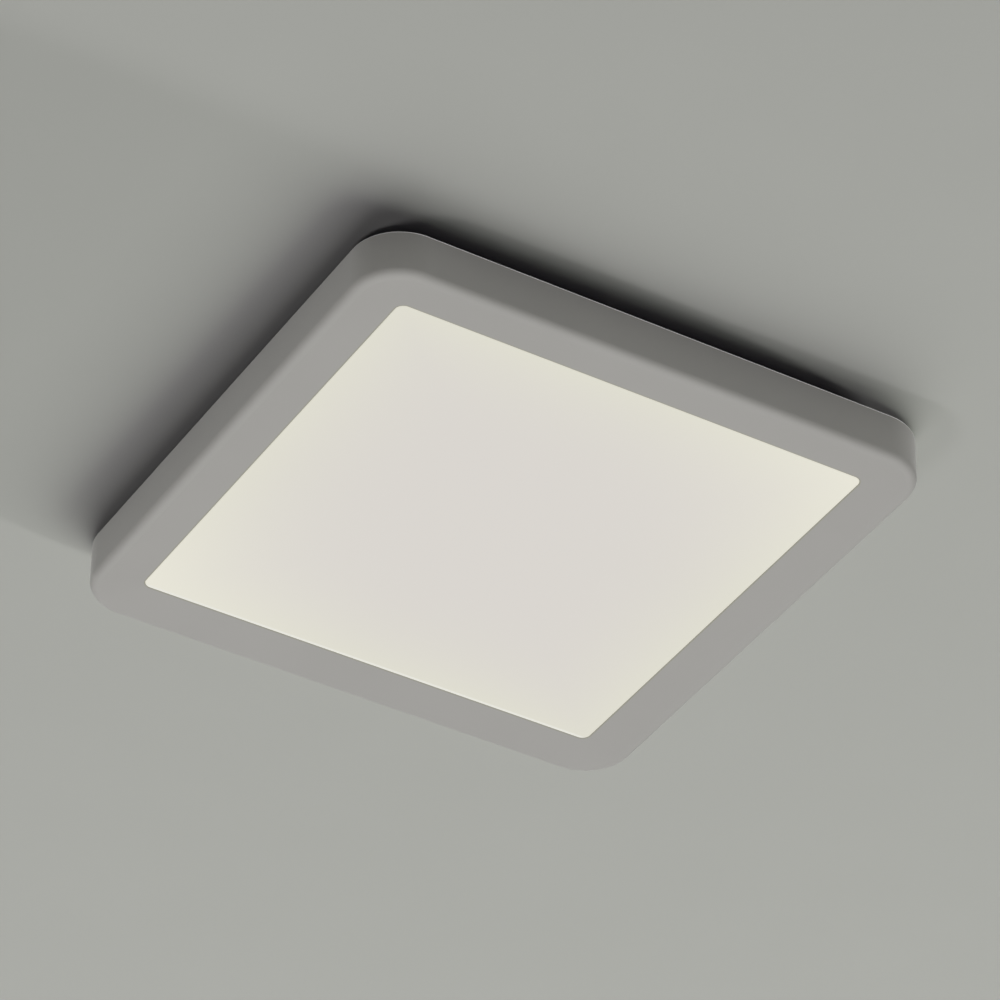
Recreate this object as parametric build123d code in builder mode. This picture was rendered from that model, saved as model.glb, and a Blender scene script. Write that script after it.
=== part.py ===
import os
from math import radians, tan

from build123d import *

os.makedirs("parts", exist_ok=True)

# Square LED ceiling light, in millimetres. The ceiling is the plane z = 0, and the light hangs below it.
# The origin is the centre of the cable inlet, +X and +Y run along the housing's sides.

# Housing: moulded shell with a dished bezel round the window
housing_side = 300.0
housing_corner_r = 25.0
side_height = 24.8
ceiling_gap = 3.0
wall = 1.8
lower_edge_r = 4.0
rim_edge_r = 0.6
bezel_width = 25.0
bezel_land = 1.0
bezel_dish = 3.3
window_corner_r = 4.5
lip = 1.2
ledge_width = 6.0
boss_r = 3.5
pilot_depth = 7.0
corner_boss_inset = 13.8
rib_t = 1.4
rib_depth = 5.5
rib_places = (-95.0, -50.0, 50.0, 95.0)
rib_drop = 1.2

# Optical stack, from the diffuser up to the back plate
fit_gap = 0.25
window_gap = 0.1
diffuser_flange = 1.2
diffuser_edge_r = 0.2
guide_t = 3.0
guide_corner_r = 3.0
reflector_t = 0.4
foam_t = 2.3
foam_width = 14.0
foam_length = 230.0
foam_places = (-108.0, -36.0, 36.0, 108.0)

# LED strips and the aluminium angles that carry them
led_gap = 0.3
led_t = 0.7
led_width = 3.0
led_height = 1.2
led_pitch = 7.2
board_t = 1.0
board_height = 4.0
board_end_gap = 14.2
carrier_t = 1.2
carrier_flange = 4.8
rivet_spacing = 80.0
link_r = 0.45
link_bend = 3.0

# Back plate: folded steel tray
plate_t = 0.8
plate_gap = 2.2
plate_rim = 6.0
plate_bend_r = 0.7
plate_relief = 2.0
bead_width = 8.0
bead_height = 0.9
bead_slope = 40.0
bead_inset = 20.0
edge_bead_length = 80.0
bead_clearance = 8.0
middle_bead_length = 116.0
middle_bead_places = (-43.0, 47.0)

# Screws and rivets
screw_r = 1.25
screw_clear_r = 1.6
screw_head_r = 2.8
screw_head_h = 1.8
screw_bite = 6.0
sheet_bite = 1.4
rivet_r = 1.5
rivet_head_r = 2.6
rivet_head_h = 0.9
small_rivet_r = 1.2
small_rivet_head_r = 2.0
small_rivet_head_h = 0.8
head_bevel = 0.4

# Ceiling bracket: steel channel with two slots and a dished cable inlet
bracket_length = 184.0
bracket_width = 64.0
bracket_t = 1.2
bracket_flange = 7.0
bracket_bend_r = 1.6
bracket_corner_r = 3.0
slot_spacing = 120.0
slot_length = 20.0
slot_width = 5.5
inlet_dish = 2.0
inlet_dish_r = 17.0
inlet_slope = 3.0
inlet_hole_r = 8.5
cable_bore_r = 4.5
grommet_flange_r = 11.0
grommet_flange_t = 1.8
grommet_sleeve = 2.2
grommet_sleeve_t = 1.6

# Spring clips on the bracket and the catches that they hold
clip_t = 0.6
clip_width = 12.0
clip_base = 20.0
clip_knee = 8.0
clip_reach = 11.5
clip_nose_z = -8.5
clip_tail = 4.0
clip_knee_r = 1.6
clip_nose_r = 1.0
clip_rivet_inset = (6.0, 14.0)
catch_t = 1.0
catch_width = 26.0
catch_grip = 1.3
catch_foot = 17.0
catch_bend_r = 1.4
catch_window_width = 15.0
catch_above = 3.6
catch_below = 2.5
catch_bar = 1.5
catch_rivet_reach = 10.0
catch_rivet_spacing = 16.0

# LED driver
driver_y = -72.0
driver_length = 112.0
driver_width = 38.0
driver_height = 12.4
driver_wall = 1.4
driver_floor = 1.2
driver_corner_r = 3.0
cover_edge_r = 1.0
tray_height = 6.4
ear_length = 9.0
ear_width = 10.0
ear_t = 2.4
ear_y = 13.0
board_post_r = 2.0
board_post_h = 1.6
board_post_x = 48.0
board_post_y = 12.0
driver_board_t = 1.4
driver_board_gap = 0.4
vent_length = 11.0
vent_width = 1.6
vent_pitch = 4.0
vent_count = 9

# Components on the driver's board, placed from the driver's centre
transformer_x = -8.0
core_length = 16.0
core_width = 14.0
core_height = 6.0
core_bar = 3.5
core_post_r = 4.1
can_r = 3.0
can_length = 15.0
can_edge = 0.45
can_places = ((-32.0, 8.0), (26.0, -9.0))
choke_x = 26.0
choke_y = 7.0
choke_r = 4.5
choke_waist_r = 3.2
choke_height = 6.0
choke_cheek = 1.2
film_x = 10.0
film_y = 9.0
film_length = 13.0
film_width = 6.0
film_height = 6.2
film_edge_r = 0.6
chip_side = 6.5
chip_height = 2.2
chip_places = ((-27.0, -8.0), (8.0, -9.0), (39.0, 10.0))

# Terminal block with three poles
terminal_y = 72.0
terminal_length = 32.0
terminal_depth = 18.0
terminal_height = 10.6
terminal_edge_r = 0.8
pole_pitch = 9.5
pole_height = 4.6
contact_r = 1.9
contact_bore_r = 1.5
contact_gap = 0.05
contact_inset = 1.0
contact_grip = 7.0
terminal_ear = 8.0
terminal_ear_t = 2.4
button_length = 6.0
button_width = 4.6
button_height = 3.6
button_pocket = 3.6
button_travel = 1.5
button_gap = 0.2
button_edge_r = 0.5

# Leads
mains_lead_r = 1.0
mains_bend = 8.0
mains_bay_x = 72.0
mains_pitch = 5.0
mains_out = 8.0
mains_drop = 9.0
mains_side_step = 6.0
mains_inside = 8.0
dc_lead_r = 0.45
dc_bend = 3.0
dc_spread = 0.9
dc_turn = 2.0
dc_end_bend = 0.7
lead_notch = 0.25
lead_grommet_x = -75.0
lead_grommet_hole_r = 4.6
lead_grommet_bore_r = 3.4
lead_grommet_flange_r = 6.0
lead_grommet_flange_t = 0.8
earth_x = -44.0
earth_y = 97.0
tag_r = 4.2
tag_t = 0.8
tag_barrel_length = 6.0
tag_barrel_r = 1.7
tag_neck = 6.5

# Places worked out from these sizes
half = housing_side / 2
inner_half = half - wall
inner_corner_r = housing_corner_r - wall
window_half = half - bezel_width
ledge_half = window_half + ledge_width
ledge_corner_r = window_corner_r + ledge_width
dish_inset = lower_edge_r + bezel_land
rim_z = -ceiling_gap
bottom_z = rim_z - side_height
floor_z = bottom_z + wall
face_z = bottom_z + bezel_dish
ledge_z = face_z + lip
flange_z = ledge_z + diffuser_flange
guide_z = flange_z + guide_t
reflector_z = guide_z + reflector_t
plate_z = reflector_z + foam_t
plate_top = plate_z + plate_t
flange_half = ledge_half - 2 * fit_gap
guide_half = flange_half - fit_gap
led_face = guide_half + led_gap
board_face = led_face + led_t
board_back = board_face + board_t
carrier_back = board_back + carrier_t
carrier_edge = carrier_back + carrier_flange
led_z = guide_z - guide_t / 2
board_low = led_z - board_height / 2
board_half = guide_half - board_end_gap
side_boss = carrier_edge + fit_gap + boss_r
corner_boss = half - corner_boss_inset
boss_points = [(x * corner_boss, y * corner_boss) for x in (-1, 1) for y in (-1, 1)]
boss_points += [(side_boss, 0), (-side_boss, 0), (0, side_boss), (0, -side_boss)]
carrier_rivet_x = carrier_back + carrier_flange / 2
plate_half = inner_half - plate_gap
plate_corner_r = inner_corner_r - plate_gap
fold_strip = plate_t / 2 + 2 * plate_bend_r
fold_run = plate_half - plate_corner_r - 2 * plate_relief
bead_line = plate_half - bead_inset
bead_place = catch_width / 2 + bead_clearance + edge_bead_length / 2
bracket_half = bracket_length / 2
nose_x = bracket_half + clip_reach
clip_z = -bracket_t - clip_t / 2
catch_x = nose_x - catch_grip
catch_top = clip_nose_z + catch_above + catch_bar
catch_rivet_x = catch_x + catch_rivet_reach
driver_top = plate_top + driver_height
tray_top = plate_top + tray_height
driver_board_z = plate_top + driver_floor + board_post_h
driver_board_top = driver_board_z + driver_board_t
driver_end = driver_length / 2
pole_z = plate_top + pole_height
pole_places = {"earth": -pole_pitch, "neutral": 0.0, "live": pole_pitch}
terminal_back = terminal_y + terminal_depth / 2
terminal_screw_x = terminal_length / 2 + terminal_ear / 2
lead_z = plate_top + mains_lead_r
side_angles = {"right": 0, "back": 90, "left": 180, "front": 270}
LOW = (Align.CENTER, Align.CENTER, Align.MIN)
HIGH = (Align.CENTER, Align.CENTER, Align.MAX)


def headed_pins(points, seat_z, pin_r, pin_length, head_r, head_h, tail_h=0.0):
    """Screws or rivets standing on seat_z, each a pan head, a shank and, on a rivet, a formed tail."""
    with BuildPart() as pins:
        with Locations(*[(x, y, seat_z) for x, y in points]):
            Cylinder(head_r, head_h, align=LOW)
        chamfer(pins.edges().group_by(Axis.Z)[-1], head_bevel)
        with Locations(*[(x, y, seat_z) for x, y in points]):
            Cylinder(pin_r, pin_length, align=HIGH)
        if tail_h:
            with Locations(*[(x, y, seat_z - pin_length) for x, y in points]):
                Cylinder(head_r, tail_h, align=HIGH)
    return pins


def bend_radii(points, largest):
    """The largest radius, up to a limit, that fits at each corner of a route."""
    radii = []
    for before, corner, after in zip(points, points[1:], points[2:]):
        arriving = Vector(*corner) - Vector(*before)
        leaving = Vector(*after) - Vector(*corner)
        half_turn = radians(arriving.get_angle(leaving)) / 2
        radii.append(min(largest, 0.45 * min(arriving.length, leaving.length) / tan(half_turn)))
    return radii


def wire(points, wire_r, radii):
    """An insulated lead along straight runs joined by tangent arcs."""
    with BuildPart() as lead:
        with BuildLine() as route:
            FilletPolyline(*points, radius=radii)
        with BuildSketch(Plane(route.line @ 0, z_dir=route.line % 0)):
            Circle(wire_r)
        sweep()
    return lead


# Housing: outer block, rounded below, hollowed, with the bezel's slope left inside and dished outside
with BuildPart() as housing:
    with BuildSketch(Plane.XY.offset(bottom_z)):
        RectangleRounded(housing_side, housing_side, housing_corner_r)
    extrude(amount=side_height)
    fillet(housing.faces().sort_by(Axis.Z)[0].edges(), lower_edge_r)
    with BuildSketch(Plane.XY.offset(floor_z)):
        RectangleRounded(2 * inner_half, 2 * inner_half, inner_corner_r)
    extrude(amount=rim_z - floor_z, mode=Mode.SUBTRACT)
    fillet(housing.faces().sort_by(Axis.Z)[-1].outer_wire().edges(), rim_edge_r)
    with BuildSketch(Plane.XY.offset(floor_z)):
        RectangleRounded(2 * inner_half, 2 * inner_half, inner_corner_r)
    with BuildSketch(Plane.XY.offset(ledge_z)):
        RectangleRounded(2 * ledge_half, 2 * ledge_half, ledge_corner_r)
    loft(ruled=True)
    with BuildSketch(Plane.XY.offset(bottom_z)):
        dish_side = housing_side - 2 * dish_inset
        RectangleRounded(dish_side, dish_side, housing_corner_r - dish_inset)
    with BuildSketch(Plane.XY.offset(face_z)):
        RectangleRounded(2 * window_half, 2 * window_half, window_corner_r)
    loft(ruled=True, mode=Mode.SUBTRACT)
    with BuildSketch(Plane.XY.offset(face_z)):
        RectangleRounded(2 * window_half, 2 * window_half, window_corner_r)
    extrude(amount=lip, mode=Mode.SUBTRACT)
    with BuildSketch(Plane.XY.offset(floor_z)):
        with Locations(*boss_points):
            Circle(boss_r)
        with PolarLocations(0, 4):
            with Locations(*[(inner_half - rib_depth / 2, y) for y in rib_places]):
                Rectangle(rib_depth, rib_t)
    extrude(amount=plate_z - rib_drop - floor_z)
    with BuildSketch(Plane.XY.offset(plate_z - rib_drop)):
        with Locations(*boss_points):
            Circle(boss_r)
    extrude(amount=rib_drop)
    with Locations(*[(x, y, plate_z) for x, y in boss_points]):
        Hole(screw_r, depth=pilot_depth)
housing.part.label = "housing"
export_step(housing.part, "parts/housing.step")

# Diffuser: opal plate whose raised middle fills the window and whose flange lies on the ledge
with BuildPart() as diffuser:
    with BuildSketch(Plane.XY.offset(face_z)):
        diffuser_side = 2 * (window_half - window_gap)
        RectangleRounded(diffuser_side, diffuser_side, window_corner_r - window_gap)
    extrude(amount=lip)
    fillet(diffuser.faces().sort_by(Axis.Z)[0].edges(), diffuser_edge_r)
    with BuildSketch(Plane.XY.offset(ledge_z)):
        RectangleRounded(2 * flange_half, 2 * flange_half, ledge_corner_r)
    extrude(amount=diffuser_flange)
diffuser.part.label = "diffuser"
export_step(diffuser.part, "parts/diffuser.step")

# Light guide: clear plate, lit from its four edges
with BuildPart() as light_guide:
    with BuildSketch(Plane.XY.offset(flange_z)):
        RectangleRounded(2 * guide_half, 2 * guide_half, guide_corner_r)
    extrude(amount=guide_t)
light_guide.part.label = "light_guide"
export_step(light_guide.part, "parts/light_guide.step")

# Reflector sheet: white film on the back of the light guide
with BuildPart() as reflector_sheet:
    with BuildSketch(Plane.XY.offset(guide_z)):
        RectangleRounded(2 * guide_half, 2 * guide_half, guide_corner_r)
    extrude(amount=reflector_t)
reflector_sheet.part.label = "reflector_sheet"
export_step(reflector_sheet.part, "parts/reflector_sheet.step")

# Foam strips: hold the stack down on the ledge
with BuildPart() as foam_strips:
    with BuildSketch(Plane.XY.offset(reflector_z)):
        with Locations(*[(0, y) for y in foam_places]):
            Rectangle(foam_length, foam_width)
    extrude(amount=foam_t)
foam_strips.part.label = "foam_strips"
export_step(foam_strips.part, "parts/foam_strips.step")

# LED strips, their LEDs and their aluminium angles, one set along each side
carrier_rivet_points = []
for side, angle in side_angles.items():
    turned = Plane.XY.rotated((0, 0, angle))
    section = Plane((0, 0, 0), x_dir=turned.x_dir, z_dir=-turned.y_dir)

    with BuildPart() as led_board:
        with BuildSketch(turned.offset(board_low)):
            with Locations((board_face + board_t / 2, 0)):
                Rectangle(board_t, 2 * board_half)
        extrude(amount=board_height)
    led_board.part.label = f"led_board_{side}"
    export_step(led_board.part, f"parts/led_board_{side}.step")

    with BuildPart() as leds:
        with BuildSketch(turned.offset(led_z - led_height / 2)):
            with Locations((led_face + led_t / 2, 0)):
                with GridLocations(0, led_pitch, 1, int(2 * board_half // led_pitch)):
                    Rectangle(led_t, led_width)
        extrude(amount=led_height)
    leds.part.label = f"leds_{side}"
    export_step(leds.part, f"parts/leds_{side}.step")

    with BuildPart() as led_carrier:
        with BuildSketch(section) as angle_profile:
            with BuildLine():
                Polyline(
                    (board_back, board_low),
                    (carrier_back, board_low),
                    (carrier_back, plate_z - carrier_t),
                    (carrier_edge, plate_z - carrier_t),
                    (carrier_edge, plate_z),
                    (board_back, plate_z),
                    close=True,
                )
            make_face()
        extrude(amount=board_half, both=True)
        rivet_line = [Vector(carrier_rivet_x, y, 0) for y in (-rivet_spacing, 0, rivet_spacing)]
        rivet_line = [turned.from_local_coords(point) for point in rivet_line]
        with Locations(*[(point.X, point.Y, plate_z) for point in rivet_line]):
            Hole(small_rivet_r, depth=carrier_t)
    led_carrier.part.label = f"led_carrier_{side}"
    export_step(led_carrier.part, f"parts/led_carrier_{side}.step")
    carrier_rivet_points += [(point.X, point.Y) for point in rivet_line]

# Carrier rivets: through the back plate and the flange of each angle
carrier_rivets = headed_pins(
    carrier_rivet_points,
    plate_top,
    small_rivet_r,
    plate_t + carrier_t,
    small_rivet_head_r,
    small_rivet_head_h,
    tail_h=small_rivet_head_h,
)
carrier_rivets.part.label = "carrier_rivets"
export_step(carrier_rivets.part, "parts/carrier_rivets.step")

# Corner links: jumper wires from strip to strip, round three corners of the light guide
link_path = board_face + board_t / 2
with BuildPart() as corner_links:
    for x_sign, y_sign in ((-1, -1), (1, -1), (1, 1)):
        with BuildLine() as link_route:
            FilletPolyline(
                (x_sign * link_path, y_sign * board_half, led_z),
                (x_sign * link_path, y_sign * link_path, led_z),
                (x_sign * board_half, y_sign * link_path, led_z),
                radius=link_bend,
            )
        with BuildSketch(Plane(link_route.line @ 0, z_dir=link_route.line % 0)):
            Circle(link_r)
        sweep()
corner_links.part.label = "corner_links"
export_step(corner_links.part, "parts/corner_links.step")

# Back plate: sheet folded up along its sides, with pressed beads, holed for screws, rivets, leads and tag
ear_screw_x = driver_end + ear_length / 2
driver_screw_points = [(-ear_screw_x, driver_y + ear_y), (ear_screw_x, driver_y - ear_y)]
terminal_screw_points = [(-terminal_screw_x, terminal_y), (terminal_screw_x, terminal_y)]
catch_rivet_points = [
    (x * catch_rivet_x, y * catch_rivet_spacing / 2) for x in (-1, 1) for y in (-1, 1)
]
with BuildPart() as back_plate:
    with BuildSketch(Plane.XY.offset(plate_z)):
        RectangleRounded(2 * plate_half, 2 * plate_half, plate_corner_r)
        with PolarLocations(plate_half - fold_strip / 2, 4):
            Rectangle(fold_strip, 2 * (fold_run + plate_relief), mode=Mode.SUBTRACT)
    extrude(amount=plate_t)
    for angle in side_angles.values():
        turned = Plane.XY.rotated((0, 0, angle))
        with BuildSketch(Plane((0, 0, 0), x_dir=turned.x_dir, z_dir=-turned.y_dir)):
            with BuildLine():
                FilletPolyline(
                    (plate_half - fold_strip, plate_z + plate_t / 2),
                    (plate_half - plate_t / 2, plate_z + plate_t / 2),
                    (plate_half - plate_t / 2, plate_top + plate_rim),
                    radius=plate_bend_r,
                )
            trace(line_width=plate_t)
        extrude(amount=fold_run, both=True)
    for bead_z, mode in ((plate_top, Mode.ADD), (plate_z, Mode.SUBTRACT)):
        trough = 2 * plate_t * tan(radians(90 - bead_slope) / 2) if mode is Mode.SUBTRACT else 0
        with BuildSketch(Plane.XY.offset(bead_z)):
            with PolarLocations(bead_line, 4):
                with Locations((0, -bead_place), (0, bead_place)):
                    SlotOverall(edge_bead_length - trough, bead_width - trough, rotation=90)
            with Locations(*[(0, y) for y in middle_bead_places]):
                SlotOverall(middle_bead_length - trough, bead_width - trough)
        extrude(amount=bead_height, taper=bead_slope, mode=mode)
    with Locations(*[(x, y, plate_top) for x, y in boss_points]):
        Hole(screw_clear_r, depth=plate_t)
    with Locations(*[(x, y, plate_top) for x, y in carrier_rivet_points]):
        Hole(small_rivet_r, depth=plate_t)
    with Locations(*[(x, y, plate_top) for x, y in catch_rivet_points]):
        Hole(rivet_r, depth=plate_t)
    sheet_screw_points = driver_screw_points + terminal_screw_points + [(earth_x, earth_y)]
    with Locations(*[(x, y, plate_top) for x, y in sheet_screw_points]):
        Hole(screw_r, depth=plate_t)
    with Locations((lead_grommet_x, driver_y, plate_top)):
        Hole(lead_grommet_hole_r, depth=plate_t)
back_plate.part.label = "back_plate"
export_step(back_plate.part, "parts/back_plate.step")

# Back plate screws: into the housing's bosses
back_plate_screws = headed_pins(
    boss_points, plate_top, screw_r, plate_t + screw_bite, screw_head_r, screw_head_h
)
back_plate_screws.part.label = "back_plate_screws"
export_step(back_plate_screws.part, "parts/back_plate_screws.step")

# Ceiling bracket: channel section, two screw slots, dished inlet in the middle
clip_rivet_points = [
    (x * (bracket_half - inset), 0) for x in (-1, 1) for inset in clip_rivet_inset
]
with BuildPart() as mounting_bracket:
    with BuildSketch(Plane.YZ.offset(-bracket_half)):
        with BuildLine():
            middle = (bracket_width - bracket_t) / 2
            FilletPolyline(
                (-middle, -bracket_t - bracket_flange),
                (-middle, -bracket_t / 2),
                (middle, -bracket_t / 2),
                (middle, -bracket_t - bracket_flange),
                radius=bracket_bend_r,
            )
        trace(line_width=bracket_t)
    extrude(amount=bracket_length)
    with BuildSketch():
        Circle(inlet_dish_r)
    extrude(amount=-bracket_t, mode=Mode.SUBTRACT)
    with BuildSketch(Plane.XZ):
        with BuildLine():
            Polyline(
                (inlet_hole_r, -inlet_dish),
                (inlet_dish_r - inlet_slope, -inlet_dish),
                (inlet_dish_r, 0),
                (inlet_dish_r, -bracket_t),
                (inlet_dish_r - inlet_slope, -inlet_dish - bracket_t),
                (inlet_hole_r, -inlet_dish - bracket_t),
                close=True,
            )
        make_face()
    revolve(axis=Axis.Z)
    with BuildSketch():
        with GridLocations(slot_spacing, 0, 2, 1):
            SlotOverall(slot_length, slot_width)
        with Locations(*clip_rivet_points):
            Circle(rivet_r)
    extrude(amount=-bracket_t, mode=Mode.SUBTRACT)
    flange_corners = mounting_bracket.edges().filter_by(Axis.Y).group_by(Axis.Z)[0]
    fillet(flange_corners, bracket_corner_r)
mounting_bracket.part.label = "mounting_bracket"
export_step(mounting_bracket.part, "parts/mounting_bracket.step")

# Cable grommet: rubber ring gripping the edge of the inlet, flush with the ceiling
with BuildPart() as cable_grommet:
    with BuildSketch(Plane.XZ):
        with BuildLine():
            lower_flange = -inlet_dish - bracket_t - grommet_flange_t
            Polyline(
                (cable_bore_r, 0),
                (grommet_flange_r, 0),
                (grommet_flange_r, -inlet_dish),
                (inlet_hole_r, -inlet_dish),
                (inlet_hole_r, -inlet_dish - bracket_t),
                (grommet_flange_r, -inlet_dish - bracket_t),
                (grommet_flange_r, lower_flange),
                (cable_bore_r + grommet_sleeve_t, lower_flange),
                (cable_bore_r + grommet_sleeve_t, lower_flange - grommet_sleeve),
                (cable_bore_r, lower_flange - grommet_sleeve),
                close=True,
            )
        make_face()
    revolve(axis=Axis.Z)
cable_grommet.part.label = "cable_grommet"
export_step(cable_grommet.part, "parts/cable_grommet.step")

# Spring clips and catches: a leaf spring's nose stands in the window of an upright on the back plate
for side, sign in (("left", -1), ("right", 1)):
    facing = Plane((0, 0, 0), x_dir=(sign, 0, 0), z_dir=(0, -sign, 0))

    with BuildPart() as spring_clip:
        with BuildSketch(facing):
            with BuildLine():
                FilletPolyline(
                    (bracket_half - clip_base, clip_z),
                    (bracket_half + clip_knee, clip_z),
                    (nose_x, clip_nose_z),
                    (nose_x - clip_tail, clip_nose_z - clip_tail),
                    radius=[clip_knee_r, clip_nose_r],
                )
            trace(line_width=clip_t)
        extrude(amount=clip_width / 2, both=True)
        with Locations(*[(sign * (bracket_half - inset), 0, -bracket_t) for inset in clip_rivet_inset]):
            Hole(rivet_r, depth=clip_t)
    spring_clip.part.label = f"spring_clip_{side}"
    export_step(spring_clip.part, f"parts/spring_clip_{side}.step")

    with BuildPart() as catch:
        with BuildSketch(facing):
            with BuildLine():
                FilletPolyline(
                    (catch_x + catch_t / 2, catch_top),
                    (catch_x + catch_t / 2, plate_top + catch_t / 2),
                    (catch_x + catch_foot, plate_top + catch_t / 2),
                    radius=catch_bend_r,
                )
            trace(line_width=catch_t)
        extrude(amount=catch_width / 2, both=True)
        with BuildSketch(Plane.YZ.offset(sign * catch_x)):
            with Locations((0, clip_nose_z + (catch_above - catch_below) / 2)):
                Rectangle(catch_window_width, catch_above + catch_below)
        extrude(amount=sign * catch_t, mode=Mode.SUBTRACT)
        with Locations(*[(x, y, plate_top + catch_t) for x, y in catch_rivet_points if x * sign > 0]):
            Hole(rivet_r, depth=catch_t)
    catch.part.label = f"catch_{side}"
    export_step(catch.part, f"parts/catch_{side}.step")

# Clip rivets: flush with the bracket's top, headed under the clips
with BuildPart() as clip_rivets:
    with Locations(*[(x, y, 0) for x, y in clip_rivet_points]):
        Cylinder(rivet_r, bracket_t + clip_t, align=HIGH)
    with Locations(*[(x, y, -bracket_t - clip_t) for x, y in clip_rivet_points]):
        Cylinder(rivet_head_r, rivet_head_h, align=HIGH)
    chamfer(clip_rivets.edges().group_by(Axis.Z)[0], head_bevel)
clip_rivets.part.label = "clip_rivets"
export_step(clip_rivets.part, "parts/clip_rivets.step")

# Catch rivets: through the catches' feet and the back plate
catch_rivets = headed_pins(
    catch_rivet_points,
    plate_top + catch_t,
    rivet_r,
    catch_t + plate_t,
    rivet_head_r,
    rivet_head_h,
    tail_h=rivet_head_h,
)
catch_rivets.part.label = "catch_rivets"
export_step(catch_rivets.part, "parts/catch_rivets.step")

# Leads: routes on the back plate, from the terminal block to the driver and to the earth tag
live_y = driver_y + mains_pitch / 2
neutral_y = driver_y - mains_pitch / 2
live_back = terminal_back + mains_out + mains_drop
neutral_back = live_back + mains_pitch
neutral_bay_x = mains_bay_x + mains_pitch
mains_entry_z = driver_board_top + mains_lead_r
pole_end = terminal_back - contact_grip
live_route = [
    (pole_pitch, pole_end, pole_z),
    (pole_pitch, terminal_back + mains_out, pole_z),
    (pole_pitch + mains_side_step, live_back, lead_z),
    (mains_bay_x, live_back, lead_z),
    (mains_bay_x, live_y + mains_side_step, lead_z),
    (driver_end + mains_out, live_y, mains_entry_z),
    (driver_end - mains_inside, live_y, mains_entry_z),
]
neutral_route = [
    (0, pole_end, pole_z),
    (0, terminal_back + mains_out, pole_z),
    (mains_side_step, neutral_back, lead_z),
    (neutral_bay_x, neutral_back, lead_z),
    (neutral_bay_x, neutral_y + mains_side_step, lead_z),
    (driver_end + mains_out, neutral_y, mains_entry_z),
    (driver_end - mains_inside, neutral_y, mains_entry_z),
]
tag_z = plate_top + tag_barrel_r
earth_route = [
    (-pole_pitch, pole_end, pole_z),
    (-pole_pitch, terminal_back + mains_out, pole_z),
    (-pole_pitch - mains_side_step, earth_y, tag_z),
    (earth_x + tag_neck, earth_y, tag_z),
]
dc_z = plate_z - foam_t / 2
dc_entry_z = driver_board_top + dc_lead_r

live_lead = wire(live_route, mains_lead_r, bend_radii(live_route, mains_bend))
live_lead.part.label = "live_lead"
export_step(live_lead.part, "parts/live_lead.step")

neutral_lead = wire(neutral_route, mains_lead_r, bend_radii(neutral_route, mains_bend))
neutral_lead.part.label = "neutral_lead"
export_step(neutral_lead.part, "parts/neutral_lead.step")

earth_lead = wire(earth_route, mains_lead_r, bend_radii(earth_route, mains_bend))
earth_lead.part.label = "earth_lead"
export_step(earth_lead.part, "parts/earth_lead.step")

for polarity, offset_y in (("positive", dc_spread), ("negative", -dc_spread)):
    lead_y = driver_y + offset_y
    dc_route = [
        (-driver_end + mains_inside, lead_y, dc_entry_z),
        (lead_grommet_x, lead_y, dc_entry_z),
        (lead_grommet_x, lead_y, dc_z),
        (-link_path, lead_y, dc_z),
        (-link_path, lead_y, board_low + board_height),
    ]
    dc_lead = wire(dc_route, dc_lead_r, [dc_bend, dc_turn, dc_end_bend])
    dc_lead.part.label = f"dc_lead_{polarity}"
    export_step(dc_lead.part, f"parts/dc_lead_{polarity}.step")

# Lead grommet: protects the DC leads at the edge of the back plate's hole
with BuildPart() as lead_grommet:
    with BuildSketch(Plane.XZ.offset(-driver_y)):
        with BuildLine():
            Polyline(
                (lead_grommet_x + lead_grommet_bore_r, plate_top + lead_grommet_flange_t),
                (lead_grommet_x + lead_grommet_flange_r, plate_top + lead_grommet_flange_t),
                (lead_grommet_x + lead_grommet_flange_r, plate_top),
                (lead_grommet_x + lead_grommet_hole_r, plate_top),
                (lead_grommet_x + lead_grommet_hole_r, plate_z),
                (lead_grommet_x + lead_grommet_flange_r, plate_z),
                (lead_grommet_x + lead_grommet_flange_r, plate_z - lead_grommet_flange_t),
                (lead_grommet_x + lead_grommet_bore_r, plate_z - lead_grommet_flange_t),
                close=True,
            )
        make_face()
    revolve(axis=Axis((lead_grommet_x, driver_y, 0), (0, 0, 1)))
    with BuildSketch(Plane.XY.offset(plate_z)):
        with Locations((lead_grommet_x - lead_grommet_flange_r, driver_y)):
            Rectangle(2 * lead_grommet_flange_r, 2 * (dc_spread + dc_lead_r + lead_notch))
    extrude(amount=-lead_grommet_flange_t, mode=Mode.SUBTRACT)
lead_grommet.part.label = "lead_grommet"
export_step(lead_grommet.part, "parts/lead_grommet.step")

# Earth tag: crimped ring terminal lying on the back plate
with BuildPart() as earth_tag:
    with BuildSketch(Plane.XY.offset(plate_top)):
        with Locations((earth_x, earth_y)):
            Circle(tag_r)
        with Locations((earth_x + tag_neck / 2, earth_y)):
            Rectangle(tag_neck, 2 * mains_lead_r)
        with Locations((earth_x, earth_y)):
            Circle(screw_clear_r, mode=Mode.SUBTRACT)
    extrude(amount=tag_t)
    with BuildSketch(Plane.YZ.offset(earth_x + tag_neck)):
        with Locations((earth_y, tag_z)):
            Circle(tag_barrel_r)
            Circle(mains_lead_r, mode=Mode.SUBTRACT)
    extrude(amount=tag_barrel_length)
earth_tag.part.label = "earth_tag"
export_step(earth_tag.part, "parts/earth_tag.step")

# Earth screw: clamps the tag to the back plate
earth_screw = headed_pins(
    [(earth_x, earth_y)],
    plate_top + tag_t,
    screw_r,
    tag_t + plate_t + sheet_bite,
    screw_head_r,
    screw_head_h,
)
earth_screw.part.label = "earth_screw"
export_step(earth_screw.part, "parts/earth_screw.step")

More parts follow.
